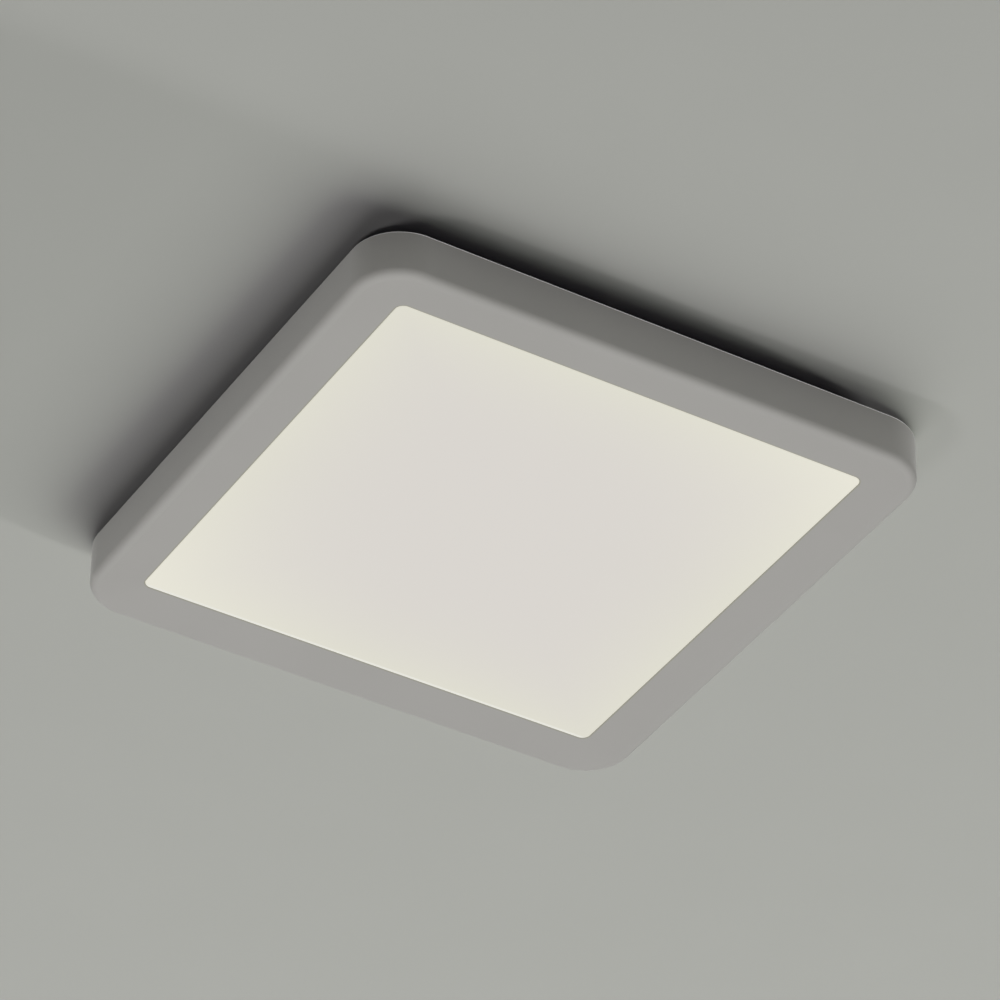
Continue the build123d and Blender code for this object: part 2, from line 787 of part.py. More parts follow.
# Driver tray: floor, walls, board posts, screw ears and notches for the leads
driver_inside_x = driver_length - 2 * driver_wall
driver_inside_y = driver_width - 2 * driver_wall
driver_inside_r = driver_corner_r - driver_wall
driver_centre = (0, driver_y)
post_points = [
    (x * board_post_x, driver_y + y * board_post_y) for x in (-1, 1) for y in (-1, 1)
]
with BuildPart() as driver_tray:
    with BuildSketch(Plane.XY.offset(plate_top)):
        with Locations(driver_centre):
            RectangleRounded(driver_length, driver_width, driver_corner_r)
    extrude(amount=tray_height)
    with BuildSketch(Plane.XY.offset(plate_top + driver_floor)):
        with Locations(driver_centre):
            RectangleRounded(driver_inside_x, driver_inside_y, driver_inside_r)
    extrude(amount=tray_height - driver_floor, mode=Mode.SUBTRACT)
    with BuildSketch(Plane.XY.offset(plate_top + driver_floor)):
        with Locations(*post_points):
            Circle(board_post_r)
    extrude(amount=board_post_h)
    with BuildSketch(Plane.XY.offset(plate_top)):
        for x, y in driver_screw_points:
            with Locations((x, y)):
                Rectangle(ear_length, ear_width)
    extrude(amount=ear_t)
    with Locations(*[(x, y, plate_top + ear_t) for x, y in driver_screw_points]):
        Hole(screw_clear_r, depth=ear_t)
    with BuildSketch(Plane.XY.offset(driver_board_top)):
        with Locations((driver_end, live_y), (driver_end, neutral_y)):
            Rectangle(4 * driver_wall, 2 * (mains_lead_r + lead_notch))
        with Locations((-driver_end, driver_y)):
            Rectangle(4 * driver_wall, 2 * (dc_spread + dc_lead_r + lead_notch))
    extrude(amount=tray_top - driver_board_top, mode=Mode.SUBTRACT)
driver_tray.part.label = "driver_tray"
export_step(driver_tray.part, "parts/driver_tray.step")

# Driver cover: vented lid standing on the tray's walls
with BuildPart() as driver_cover:
    with BuildSketch(Plane.XY.offset(tray_top)):
        with Locations(driver_centre):
            RectangleRounded(driver_length, driver_width, driver_corner_r)
    extrude(amount=driver_top - tray_top)
    fillet(driver_cover.faces().sort_by(Axis.Z)[-1].edges(), cover_edge_r)
    with BuildSketch(Plane.XY.offset(tray_top)):
        with Locations(driver_centre):
            RectangleRounded(driver_inside_x, driver_inside_y, driver_inside_r)
    extrude(amount=driver_top - driver_wall - tray_top, mode=Mode.SUBTRACT)
    with BuildSketch(Plane.XY.offset(driver_top)):
        with Locations(driver_centre):
            with GridLocations(vent_pitch, driver_width / 2, vent_count, 2):
                SlotOverall(vent_length, vent_width, rotation=90)
    extrude(amount=-driver_wall, mode=Mode.SUBTRACT)
driver_cover.part.label = "driver_cover"
export_step(driver_cover.part, "parts/driver_cover.step")

# Driver screws: through the ears into the back plate
driver_screws = headed_pins(
    driver_screw_points,
    plate_top + ear_t,
    screw_r,
    ear_t + plate_t + sheet_bite,
    screw_head_r,
    screw_head_h,
)
driver_screws.part.label = "driver_screws"
export_step(driver_screws.part, "parts/driver_screws.step")

# Driver board and what is soldered to it
with BuildPart() as driver_board:
    with BuildSketch(Plane.XY.offset(driver_board_z)):
        with Locations(driver_centre):
            RectangleRounded(
                driver_inside_x - 2 * driver_board_gap,
                driver_inside_y - 2 * driver_board_gap,
                driver_inside_r,
            )
    extrude(amount=driver_board_t)
driver_board.part.label = "driver_board"
export_step(driver_board.part, "parts/driver_board.step")

with BuildPart() as driver_transformer:
    with BuildSketch(Plane.XY.offset(driver_board_top)):
        with Locations((transformer_x, driver_y)):
            Rectangle(core_length, core_width)
    extrude(amount=core_height)
    with BuildSketch(Plane.XY.offset(driver_board_top + core_height)):
        with Locations((transformer_x, driver_y)):
            Rectangle(core_length - 2 * core_bar, core_width)
    extrude(amount=-core_height / 2, mode=Mode.SUBTRACT)
    with BuildSketch(Plane.XY.offset(driver_board_top + core_height / 2)):
        with Locations((transformer_x, driver_y)):
            Circle(core_post_r)
    extrude(amount=core_height / 2)
driver_transformer.part.label = "driver_transformer"
export_step(driver_transformer.part, "parts/driver_transformer.step")

with BuildPart() as driver_capacitors:
    for x, y in can_places:
        with BuildSketch(Plane.YZ.offset(x - can_length / 2)):
            with Locations((driver_y + y, driver_board_top + can_r)):
                Circle(can_r)
        extrude(amount=can_length)
    chamfer(driver_capacitors.edges().filter_by(GeomType.CIRCLE), can_edge)
driver_capacitors.part.label = "driver_capacitors"
export_step(driver_capacitors.part, "parts/driver_capacitors.step")

with BuildPart() as driver_choke:
    with BuildSketch(Plane.XY.offset(driver_board_top)):
        with Locations((choke_x, driver_y + choke_y)):
            Circle(choke_waist_r)
    extrude(amount=choke_height)
    for cheek_z in (driver_board_top, driver_board_top + choke_height - choke_cheek):
        with BuildSketch(Plane.XY.offset(cheek_z)):
            with Locations((choke_x, driver_y + choke_y)):
                Circle(choke_r)
        extrude(amount=choke_cheek)
driver_choke.part.label = "driver_choke"
export_step(driver_choke.part, "parts/driver_choke.step")

with BuildPart() as driver_film_capacitor:
    with BuildSketch(Plane.XY.offset(driver_board_top)):
        with Locations((film_x, driver_y + film_y)):
            Rectangle(film_length, film_width)
    extrude(amount=film_height)
    fillet(driver_film_capacitor.edges().filter_by(Axis.Z), film_edge_r)
driver_film_capacitor.part.label = "driver_film_capacitor"
export_step(driver_film_capacitor.part, "parts/driver_film_capacitor.step")

with BuildPart() as driver_chips:
    with BuildSketch(Plane.XY.offset(driver_board_top)):
        with Locations(*[(x, driver_y + y) for x, y in chip_places]):
            Rectangle(chip_side, chip_side)
    extrude(amount=chip_height)
driver_chips.part.label = "driver_chips"
export_step(driver_chips.part, "parts/driver_chips.step")

# Terminal block: body with three through bores, a button pocket over each, and two screw ears
pole_points = [(x, terminal_y) for x in pole_places.values()]
terminal_top = plate_top + terminal_height
with BuildPart() as terminal_body:
    with BuildSketch(Plane.XY.offset(plate_top)):
        with Locations((0, terminal_y)):
            Rectangle(terminal_length, terminal_depth)
    extrude(amount=terminal_height)
    fillet(terminal_body.edges().filter_by(Axis.Z), terminal_edge_r)
    fillet(terminal_body.faces().sort_by(Axis.Z)[-1].edges(), terminal_edge_r / 2)
    with BuildSketch(Plane.XY.offset(plate_top)):
        with Locations(*terminal_screw_points):
            Rectangle(terminal_ear + 2 * terminal_edge_r, terminal_ear)
    extrude(amount=terminal_ear_t)
    with BuildSketch(Plane.XZ.offset(-terminal_back)):
        with Locations(*[(x, pole_z) for x in pole_places.values()]):
            Circle(contact_r + contact_gap)
    extrude(amount=terminal_depth, mode=Mode.SUBTRACT)
    with BuildSketch(Plane.XY.offset(terminal_top)):
        with Locations(*pole_points):
            Rectangle(button_width + 2 * button_gap, button_length + 2 * button_gap)
    extrude(amount=-button_pocket, mode=Mode.SUBTRACT)
    with Locations(*[(x, y, plate_top + terminal_ear_t) for x, y in terminal_screw_points]):
        Hole(screw_clear_r, depth=terminal_ear_t)
terminal_body.part.label = "terminal_body"
export_step(terminal_body.part, "parts/terminal_body.step")

# Terminal contacts: brass sleeves in the body's bores
with BuildPart() as terminal_contacts:
    with BuildSketch(Plane.XZ.offset(-terminal_back + contact_inset)):
        with Locations(*[(x, pole_z) for x in pole_places.values()]):
            Circle(contact_r)
            Circle(contact_bore_r, mode=Mode.SUBTRACT)
    extrude(amount=terminal_depth - 2 * contact_inset)
terminal_contacts.part.label = "terminal_contacts"
export_step(terminal_contacts.part, "parts/terminal_contacts.step")

# Terminal screws: through the ears into the back plate
terminal_screws = headed_pins(
    terminal_screw_points,
    plate_top + terminal_ear_t,
    screw_r,
    terminal_ear_t + plate_t + sheet_bite,
    screw_head_r,
    screw_head_h,
)
terminal_screws.part.label = "terminal_screws"
export_step(terminal_screws.part, "parts/terminal_screws.step")

# Release buttons: one over each pole, pressed towards the back plate
button_low = terminal_top - button_pocket + button_travel + button_gap
for pole, x in pole_places.items():
    with BuildPart() as terminal_button:
        with BuildSketch(Plane.XY.offset(button_low)):
            with Locations((x, terminal_y)):
                Rectangle(button_width, button_length)
        extrude(amount=button_height)
        fillet(terminal_button.faces().sort_by(Axis.Z)[-1].edges(), button_edge_r)
    terminal_button.part.label = f"terminal_button_{pole}"
    export_step(terminal_button.part, f"parts/terminal_button_{pole}.step")
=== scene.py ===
"""Finishes of a square LED ceiling light, with its studio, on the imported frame. Metres, ceiling at z = 0."""
import math

import bmesh
import bpy
from mathutils import Matrix, Vector


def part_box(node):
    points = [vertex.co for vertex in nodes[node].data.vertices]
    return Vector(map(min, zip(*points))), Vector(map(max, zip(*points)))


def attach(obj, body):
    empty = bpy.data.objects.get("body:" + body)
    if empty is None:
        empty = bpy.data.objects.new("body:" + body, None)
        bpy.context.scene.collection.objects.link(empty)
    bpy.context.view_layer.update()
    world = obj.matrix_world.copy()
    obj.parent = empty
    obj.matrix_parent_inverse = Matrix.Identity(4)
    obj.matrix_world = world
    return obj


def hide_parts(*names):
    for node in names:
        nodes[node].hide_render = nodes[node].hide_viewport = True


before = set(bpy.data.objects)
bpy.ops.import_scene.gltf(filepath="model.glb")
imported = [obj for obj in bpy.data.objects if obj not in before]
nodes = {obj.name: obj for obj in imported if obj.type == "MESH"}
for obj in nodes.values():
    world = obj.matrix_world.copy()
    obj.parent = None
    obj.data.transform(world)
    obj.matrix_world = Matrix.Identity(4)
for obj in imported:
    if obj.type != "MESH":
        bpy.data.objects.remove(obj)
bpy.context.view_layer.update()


# Housing
# One moulding in warm grey polymer, spark-eroded to a fine even grain, with a dished bezel round the window.
# Its upper rim is painted paler along the front as a highlight, and a fine line of painted shade runs along
# the bezel's inner lip.
def add_node(tree, kind, sockets=None, **settings):
    """Adds a node, sets its properties, then sets or links each socket that is named or numbered."""
    node = tree.nodes.new(kind)
    for name, value in settings.items():
        setattr(node, name, value)
    for name, value in (sockets or {}).items():
        if isinstance(value, bpy.types.NodeSocket):
            tree.links.new(value, node.inputs[name])
        else:
            node.inputs[name].default_value = value
    return node


def math_node(tree, operation, first, second=None, third=None, clamp=False):
    """One arithmetic step, given as values or sockets."""
    values = {index: value for index, value in enumerate((first, second, third)) if value is not None}
    return add_node(tree, "ShaderNodeMath", values, operation=operation, use_clamp=clamp).outputs[0]


def opaque(colour):
    """A colour with its alpha, or a socket as it is."""
    return (*colour, 1.0) if isinstance(colour, tuple) else colour


def blend_colours(tree, mask, first, second):
    """Goes from the first colour to the second as a mask goes from 0 to 1."""
    sockets = {"Factor": mask, "A": opaque(first), "B": opaque(second)}
    return add_node(tree, "ShaderNodeMix", sockets, data_type="RGBA").outputs["Result"]


def spread(tree, mask, low, high):
    """Goes from a low value to a high one as a mask goes from 0 to 1."""
    return add_node(tree, "ShaderNodeMapRange", {"Value": mask, "To Min": low, "To Max": high}).outputs[0]


def ramp(tree, value, start, end):
    """A mask that goes from 0 to 1 as a value goes from start to end, in either direction."""
    sockets = {"Value": value, "From Min": start, "From Max": end}
    return add_node(tree, "ShaderNodeMapRange", sockets).outputs[0]


def object_point(tree):
    """The shaded point in the frame's metres."""
    return tree.nodes.new("ShaderNodeTexCoord").outputs["Object"]


def point_parts(tree):
    """The shaded point's X, Y and Z."""
    return add_node(tree, "ShaderNodeSeparateXYZ", {"Vector": object_point(tree)}).outputs


def mottle(tree, scale, detail, point=None):
    """Soft random blotches, so many to the metre, over the shaded point or another one."""
    where = object_point(tree) if point is None else point
    sockets = {"Vector": where, "Scale": scale, "Detail": detail}
    return add_node(tree, "ShaderNodeTexNoise", sockets).outputs["Fac"]


def effect_group(name, inputs, outputs):
    """An empty shader group with named value inputs, with their usual values, and named value outputs."""
    tree = bpy.data.node_groups.new(name, "ShaderNodeTree")
    for label, usual in inputs.items():
        tree.interface.new_socket(label, in_out="INPUT", socket_type="NodeSocketFloat").default_value = usual
    for label in outputs:
        tree.interface.new_socket(label, in_out="OUTPUT", socket_type="NodeSocketFloat")
    return tree, tree.nodes.new("NodeGroupInput").outputs, tree.nodes.new("NodeGroupOutput").inputs


def use_effect(tree, group, **values):
    """Places an effect in a material with its own values."""
    sockets = {label.replace("_", " "): value for label, value in values.items()}
    return add_node(tree, "ShaderNodeGroup", sockets, node_tree=group).outputs


def new_finish(name, colour, roughness, metallic=0.0, specular=0.5):
    """A material with one Principled shader, whose plain values stand on its own sockets."""
    material = bpy.data.materials.new(name)
    material.use_nodes = True
    sockets = material.node_tree.nodes["Principled BSDF"].inputs
    sockets["Base Color"].default_value = opaque(colour)
    sockets["Roughness"].default_value = roughness
    sockets["Metallic"].default_value = metallic
    sockets["Specular IOR Level"].default_value = specular
    return material, material.node_tree, sockets


def tint(tree, sockets, mask, first, second):
    """Lets the base colour follow a mask."""
    tree.links.new(blend_colours(tree, mask, first, second), sockets["Base Color"])


def roughen(tree, sockets, mask, low, high):
    """Lets the roughness follow a mask."""
    tree.links.new(spread(tree, mask, low, high), sockets["Roughness"])


def raise_surface(tree, sockets, height, depth, strength=1.0):
    """Turns a height into a bump of a real depth on the shader."""
    bump = add_node(tree, "ShaderNodeBump", {"Height": height, "Distance": depth, "Strength": strength})
    tree.links.new(bump.outputs["Normal"], sockets["Normal"])


def dress(material, *names):
    """Gives CAD nodes their finish."""
    for name in names:
        nodes[name].material_slots[0].material = material


flow_mark_scale = 14.0
pit_share = 0.35
tone_start = 0.35

grain, grain_in, grain_out = effect_group("moulded grain", {"Grain size": 0.0006}, ("Height", "Tone"))
pits = mottle(grain, math_node(grain, "DIVIDE", 1.0, grain_in["Grain size"]), detail=3.0)
flow_marks = mottle(grain, flow_mark_scale, detail=4.0)
pitted_flow = math_node(grain, "MULTIPLY_ADD", pits, pit_share, flow_marks)
grain.links.new(pits, grain_out["Height"])
grain.links.new(ramp(grain, pitted_flow, tone_start, 1.0), grain_out["Tone"])

housing_grey = (0.428, 0.420, 0.396)
housing_grey_deep = (0.405, 0.397, 0.374)
housing_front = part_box("housing")[0].y
housing_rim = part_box("housing")[1].z
# Painted highlight: the front of the upper rim is painted paler, where a highlight shows along its edge.
painted_rim_highlight = (0.92, 0.91, 0.89)
painted_highlight_depth = 0.0009
painted_highlight_full_depth = 0.7 * painted_highlight_depth
painted_highlight_reach = 0.025
painted_highlight_full_reach = 0.4 * painted_highlight_reach
# Painted shade: a fine darker line along the bezel's inner lip, where the joint with the diffuser lies in
# shade.
painted_lip_shade = (0.375, 0.368, 0.305)
lip_shade_width = 0.0009
lip_shade_full_width = 0.5 * lip_shade_width
diffuser_flange = 0.0056
window_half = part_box("diffuser")[1].x - diffuser_flange
window_corner = 0.0045
window_straight = window_half - window_corner


def past_window(tree, place):
    """How far a point lies outside the window's rounded outline."""
    squares = []
    for axis in ("X", "Y"):
        over = math_node(tree, "SUBTRACT", math_node(tree, "ABSOLUTE", place[axis]), window_straight)
        squares.append(math_node(tree, "POWER", math_node(tree, "MAXIMUM", over, 0.0), 2.0))
    from_corner = math_node(tree, "SQRT", math_node(tree, "ADD", *squares))
    return math_node(tree, "SUBTRACT", from_corner, window_corner)


plastic, tree, sockets = new_finish("housing_plastic", housing_grey, roughness=0.5, specular=0.28)
grained = use_effect(tree, grain, Grain_size=0.0007)
place = point_parts(tree)
# The painted highlight band along the front of the upper rim.
highlight_band = ramp(tree, place["Z"], housing_rim - painted_highlight_depth, housing_rim - painted_highlight_full_depth)
highlight_front = ramp(tree, place["Y"], housing_front + painted_highlight_reach, housing_front + painted_highlight_full_reach)
painted_highlight_mask = math_node(tree, "MULTIPLY", highlight_band, highlight_front)
# The painted shade line along the window's edge.
lip_shade_mask = ramp(tree, past_window(tree, place), lip_shade_width, lip_shade_full_width)
body_colour = blend_colours(tree, grained["Tone"], housing_grey, housing_grey_deep)
body_colour = blend_colours(tree, lip_shade_mask, body_colour, painted_lip_shade)
tint(tree, sockets, painted_highlight_mask, body_colour, painted_rim_highlight)
roughen(tree, sockets, grained["Height"], 0.46, 0.56)
raise_surface(tree, sockets, grained["Height"], depth=0.00004, strength=0.35)
dress(plastic, "housing")


# Diffuser
# Opal acrylic plate, satin below, lying in the window flush with the bezel's inner edge.
# Lit from its edges, it glows warmer towards the rim and two corners, and its rear edge is a fine pale line.
opal_body = (0.55, 0.54, 0.51)
glow_middle = (0.250, 0.231, 0.212)
glow_rim = (0.294, 0.289, 0.216)
glow_corner = (0.364, 0.354, 0.276)
glow_edge = (0.368, 0.367, 0.322)
rim_falloff = 4.0
corner_falloff = 1.7
edge_line = 0.0020
edge_line_full = 0.7 * edge_line

opal, tree, sockets = new_finish("opal_diffuser", opal_body, roughness=0.42, specular=0.2)
place = point_parts(tree)
share_x = math_node(tree, "DIVIDE", place["X"], window_half)
share_y = math_node(tree, "DIVIDE", place["Y"], window_half)
far_x = math_node(tree, "ABSOLUTE", share_x)
far_y = math_node(tree, "ABSOLUTE", share_y)
to_rim = math_node(tree, "MAXIMUM", far_x, far_y)
rim_share = math_node(tree, "POWER", to_rim, rim_falloff, clamp=True)
to_corner = math_node(tree, "MULTIPLY", math_node(tree, "MULTIPLY", share_x, -1.0), share_y, clamp=True)
corner_share = math_node(tree, "POWER", to_corner, corner_falloff)
rear_line = ramp(tree, place["Y"], window_half - edge_line, window_half - edge_line_full)
glow = blend_colours(tree, rim_share, glow_middle, glow_rim)
glow = blend_colours(tree, corner_share, glow, glow_corner)
glow = blend_colours(tree, rear_line, glow, glow_edge)
tree.links.new(glow, sockets["Emission Color"])
sockets["Emission Strength"].default_value = 1.0
opal.cycles.emission_sampling = "NONE"
frost = use_effect(tree, grain, Grain_size=0.0004)["Height"]
roughen(tree, sockets, frost, 0.38, 0.48)
raise_surface(tree, sockets, frost, depth=0.00001, strength=0.2)
dress(opal, "diffuser")


# Light guide, reflector sheet and foam strips
# A clear acrylic plate takes the light in at its edges, and a white film behind it sends it forward.
# Four die-cut foam strips press this stack down on the housing's ledge.
acrylic, tree, sockets = new_finish("clear_acrylic", (0.93, 0.96, 0.96), roughness=0.08)
sockets["Transmission Weight"].default_value = 0.9
sockets["IOR"].default_value = 1.49
cast_marks = use_effect(tree, grain, Grain_size=0.004)["Tone"]
roughen(tree, sockets, cast_marks, 0.05, 0.12)
dress(acrylic, "light_guide")

film, tree, sockets = new_finish("white_film", (0.88, 0.88, 0.87), roughness=0.55)
film_tone = use_effect(tree, grain, Grain_size=0.0012)["Tone"]
tint(tree, sockets, film_tone, (0.90, 0.90, 0.89), (0.84, 0.84, 0.83))
dress(film, "reflector_sheet")

foam_cell_scale = 1400.0

foam, tree, sockets = new_finish("foam", (0.24, 0.24, 0.25), roughness=0.95, specular=0.1)
foam_cells = add_node(tree, "ShaderNodeTexVoronoi", {"Vector": object_point(tree), "Scale": foam_cell_scale})
cell_depth = foam_cells.outputs["Distance"]
tint(tree, sockets, cell_depth, (0.12, 0.12, 0.125), (0.30, 0.30, 0.31))
raise_surface(tree, sockets, cell_depth, depth=0.0004)
dress(foam, "foam_strips")


# LED strips, their angles and their jumper wires
# White-masked boards with yellow phosphor packages, stuck to extruded aluminium angles.
# Short white jumper wires link the boards round three corners of the light guide.
def vector_step(tree, operation, first, second):
    """One arithmetic step on whole vectors."""
    return add_node(tree, "ShaderNodeVectorMath", {0: first, 1: second}, operation=operation).outputs[0]


usual_lines = {"Along": 30.0, "Across": 2600.0}

lines, lines_in, lines_out = effect_group("drawn lines", usual_lines, ("X lines", "Y lines"))
line_point = object_point(lines)
for label, x_rate, y_rate in (("X lines", "Along", "Across"), ("Y lines", "Across", "Along")):
    rates = {"X": lines_in[x_rate], "Y": lines_in[y_rate], "Z": lines_in["Across"]}
    stretch = add_node(lines, "ShaderNodeCombineXYZ", rates).outputs[0]
    stretched = vector_step(lines, "MULTIPLY", line_point, stretch)
    lines.links.new(mottle(lines, 1.0, detail=3.0, point=stretched), lines_out[label])

for axis, sides in (("X", ("front", "back")), ("Y", ("left", "right"))):
    name = f"aluminium_{axis.lower()}"
    extrusion, tree, sockets = new_finish(name, (0.72, 0.73, 0.74), roughness=0.38, metallic=1.0)
    drawn = use_effect(tree, lines)[f"{axis} lines"]
    tint(tree, sockets, drawn, (0.64, 0.65, 0.66), (0.80, 0.81, 0.82))
    roughen(tree, sockets, drawn, 0.28, 0.5)
    dress(extrusion, *[f"led_carrier_{side}" for side in sides])

strip_sides = ("front", "back", "left", "right")
board_mask = (0.80, 0.82, 0.78)
board_mask_thin = (0.70, 0.74, 0.66)
track_rates = (140.0, 140.0, 700.0)
track_edge_start = 0.42
track_edge_end = 0.46

board, tree, sockets = new_finish("circuit_board", board_mask, roughness=0.45)
track_point = vector_step(tree, "MULTIPLY", object_point(tree), track_rates)
tracks = add_node(tree, "ShaderNodeTexVoronoi", {"Vector": track_point, "Scale": 1.0}, distance="CHEBYCHEV")
track_edge = ramp(tree, tracks.outputs["Distance"], track_edge_start, track_edge_end)
tint(tree, sockets, track_edge, board_mask, board_mask_thin)
raise_surface(tree, sockets, track_edge, depth=0.00003)
dress(board, *[f"led_board_{side}" for side in strip_sides])

phosphor, tree, sockets = new_finish("led_package", (0.85, 0.72, 0.30), roughness=0.3)
speckle = use_effect(tree, grain, Grain_size=0.0002)["Height"]
tint(tree, sockets, speckle, (0.80, 0.64, 0.22), (0.92, 0.80, 0.42))
dress(phosphor, *[f"leds_{side}" for side in strip_sides])

lead_wave_scale = 260.0
lead_wave_shade = 0.8
earth_stripe_scale = 95.0
earth_stripe_start = 0.55
earth_stripe_end = 0.65


def lead_finish(name, colour, second_colour=None):
    """Extruded insulation: a slight gloss, faint waves along it and, on an earth lead, a second colour."""
    material, tree, sockets = new_finish(name, colour, roughness=0.36, specular=0.4)
    waves = mottle(tree, lead_wave_scale, detail=2.0)
    shade = blend_colours(tree, waves, tuple(lead_wave_shade * part for part in colour), colour)
    if second_colour:
        stripe_sockets = {"Vector": object_point(tree), "Scale": earth_stripe_scale}
        stripes = add_node(tree, "ShaderNodeTexWave", stripe_sockets, bands_direction="DIAGONAL")
        stripe_mask = ramp(tree, stripes.outputs["Fac"], earth_stripe_start, earth_stripe_end)
        shade = blend_colours(tree, stripe_mask, shade, second_colour)
    tree.links.new(shade, sockets["Base Color"])
    roughen(tree, sockets, waves, 0.28, 0.46)
    raise_surface(tree, sockets, waves, depth=0.00008, strength=0.5)
    return material


dress(lead_finish("white_lead", (0.78, 0.78, 0.76)), "corner_links")


# Back plate
# Hot-dip galvanised steel sheet, folded up along its four sides and stiffened by pressed beads.
# The zinc shows its crystal spangle, dulled by handling, and some dust has settled on it.
wobble_scale = 300.0
wobble_reach = 0.003
crystal_share = 0.7
feather_scale = 900.0
feather_share = 0.3

spangle, spangle_in, spangle_out = effect_group("zinc spangle", {"Crystal size": 0.004}, ("Tone", "Gloss"))
crystal_scale = math_node(spangle, "DIVIDE", 1.0, spangle_in["Crystal size"])
wobble_sockets = {"Vector": object_point(spangle), "Scale": wobble_scale, "Detail": 2.0}
wobble = add_node(spangle, "ShaderNodeTexNoise", wobble_sockets).outputs["Color"]
shift_sockets = {0: wobble, "Scale": wobble_reach}
wobble_shift = add_node(spangle, "ShaderNodeVectorMath", shift_sockets, operation="SCALE")
wobbled = vector_step(spangle, "ADD", object_point(spangle), wobble_shift.outputs[0])
crystals = add_node(spangle, "ShaderNodeTexVoronoi", {"Vector": wobbled, "Scale": crystal_scale})
crystal_tones = add_node(spangle, "ShaderNodeSeparateColor", {"Color": crystals.outputs["Color"]}).outputs
feathers = mottle(spangle, feather_scale, detail=3.0, point=wobbled)
crystal_tone = math_node(spangle, "MULTIPLY", crystal_tones["Red"], crystal_share)
feathered = math_node(spangle, "MULTIPLY_ADD", feathers, feather_share, crystal_tone)
spangle.links.new(feathered, spangle_out["Tone"])
spangle.links.new(crystal_tones["Green"], spangle_out["Gloss"])

speck_scale = 1100.0
drift_scale = 22.0
drift_start = 0.38
drift_full = 0.7
level_start = 0.5

dust, dust_in, dust_out = effect_group("settled dust", {"Amount": 0.4}, ("Mask",))
facing = dust.nodes.new("ShaderNodeNewGeometry").outputs["Normal"]
facing_up = add_node(dust, "ShaderNodeSeparateXYZ", {"Vector": facing}).outputs["Z"]
specks = mottle(dust, speck_scale, detail=2.0)
drifts = ramp(dust, mottle(dust, drift_scale, detail=5.0), drift_start, drift_full)
drifted = math_node(dust, "MULTIPLY", drifts, specks)
settled = math_node(dust, "MULTIPLY", drifted, ramp(dust, facing_up, level_start, 1.0))
dust.links.new(math_node(dust, "MULTIPLY", settled, dust_in["Amount"], clamp=True), dust_out["Mask"])

dust_grey = (0.50, 0.48, 0.45)
zinc_dark = (0.50, 0.51, 0.52)
zinc_light = (0.66, 0.67, 0.68)
zinc_dust_matte = 0.35

zinc, tree, sockets = new_finish("galvanised_steel", zinc_light, roughness=0.42, metallic=0.85)
crystal = use_effect(tree, spangle)
dust_mask = use_effect(tree, dust, Amount=0.5)["Mask"]
zinc_colour = blend_colours(tree, crystal["Tone"], zinc_dark, zinc_light)
tint(tree, sockets, dust_mask, zinc_colour, dust_grey)
zinc_gloss = spread(tree, crystal["Gloss"], 0.34, 0.52)
dusty_gloss = math_node(tree, "MULTIPLY_ADD", dust_mask, zinc_dust_matte, zinc_gloss)
tree.links.new(dusty_gloss, sockets["Roughness"])
tree.links.new(spread(tree, dust_mask, 0.9, 0.3), sockets["Metallic"])
raise_surface(tree, sockets, crystal["Tone"], depth=0.00005, strength=0.3)
dress(zinc, "back_plate")


# Screws
# Zinc-plated pan heads with a cross recess: eight into the housing's bosses, the rest into the back plate.
# Each head stands on what it clamps, turned as the driver happened to leave it.
merge_distance = 1e-6


def solids_of(*names):
    """The lowest and highest corners of every separate solid in CAD nodes."""
    found = []
    for name in names:
        merged = bmesh.new()
        merged.from_mesh(nodes[name].data)
        bmesh.ops.remove_doubles(merged, verts=merged.verts, dist=merge_distance)
        waiting = set(merged.verts)
        while waiting:
            reached = [waiting.pop()]
            for vert in reached:
                near = {edge.other_vert(vert) for edge in vert.link_edges} & waiting
                waiting -= near
                reached.extend(near)
            places = [vert.co for vert in reached]
            low = Vector([min(place[axis] for place in places) for axis in range(3)])
            high = Vector([max(place[axis] for place in places) for axis in range(3)])
            found.append((low, high))
        merged.free()
    return sorted(found, key=lambda corners: tuple(corners[0]))


def over_middle(low, high, height):
    """The point at a height over the middle of a solid."""
    return (low.x + high.x) / 2, (low.y + high.y) / 2, height


def shape_tree(name, **sizes):
    """An empty geometry tree with a size input for each name, and its input and output sockets."""
    tree = bpy.data.node_groups.new(name, "GeometryNodeTree")
    tree.is_modifier = True
    tree.interface.new_socket("Geometry", in_out="INPUT", socket_type="NodeSocketGeometry")
    tree.interface.new_socket("Finish", in_out="INPUT", socket_type="NodeSocketMaterial")
    for key, usual in sizes.items():
        label = key.replace("_", " ")
        tree.interface.new_socket(label, in_out="INPUT", socket_type="NodeSocketFloat").default_value = usual
    tree.interface.new_socket("Geometry", in_out="OUTPUT", socket_type="NodeSocketGeometry")
    return tree, tree.nodes.new("NodeGroupInput").outputs, tree.nodes.new("NodeGroupOutput").inputs


def lifted(tree, shape, height):
    """Lifts a shape within a geometry tree."""
    rise = add_node(tree, "ShaderNodeCombineXYZ", {"Z": height}).outputs[0]
    return add_node(tree, "GeometryNodeTransform", {"Geometry": shape, "Translation": rise}).outputs[0]


def upright_bar(tree, sides, radius, length, middle):
    """An upright round bar whose middle stands at a height."""
    sockets = {"Vertices": sides, "Radius": radius, "Depth": length}
    return lifted(tree, add_node(tree, "GeometryNodeMeshCylinder", sockets).outputs[0], middle)


def flat_dome(tree, size, segments, rings, widen):
    """A ball flattened to a fastener head's height, and wider than the head by a factor."""
    sockets = {"Segments": segments, "Rings": rings, "Radius": size["Head radius"]}
    ball = add_node(tree, "GeometryNodeMeshUVSphere", sockets).outputs[0]
    flatten = math_node(tree, "DIVIDE", size["Head height"], size["Head radius"])
    scale = add_node(tree, "ShaderNodeCombineXYZ", {"X": widen, "Y": widen, "Z": flatten}).outputs[0]
    return add_node(tree, "GeometryNodeTransform", {"Geometry": ball, "Scale": scale}).outputs[0]


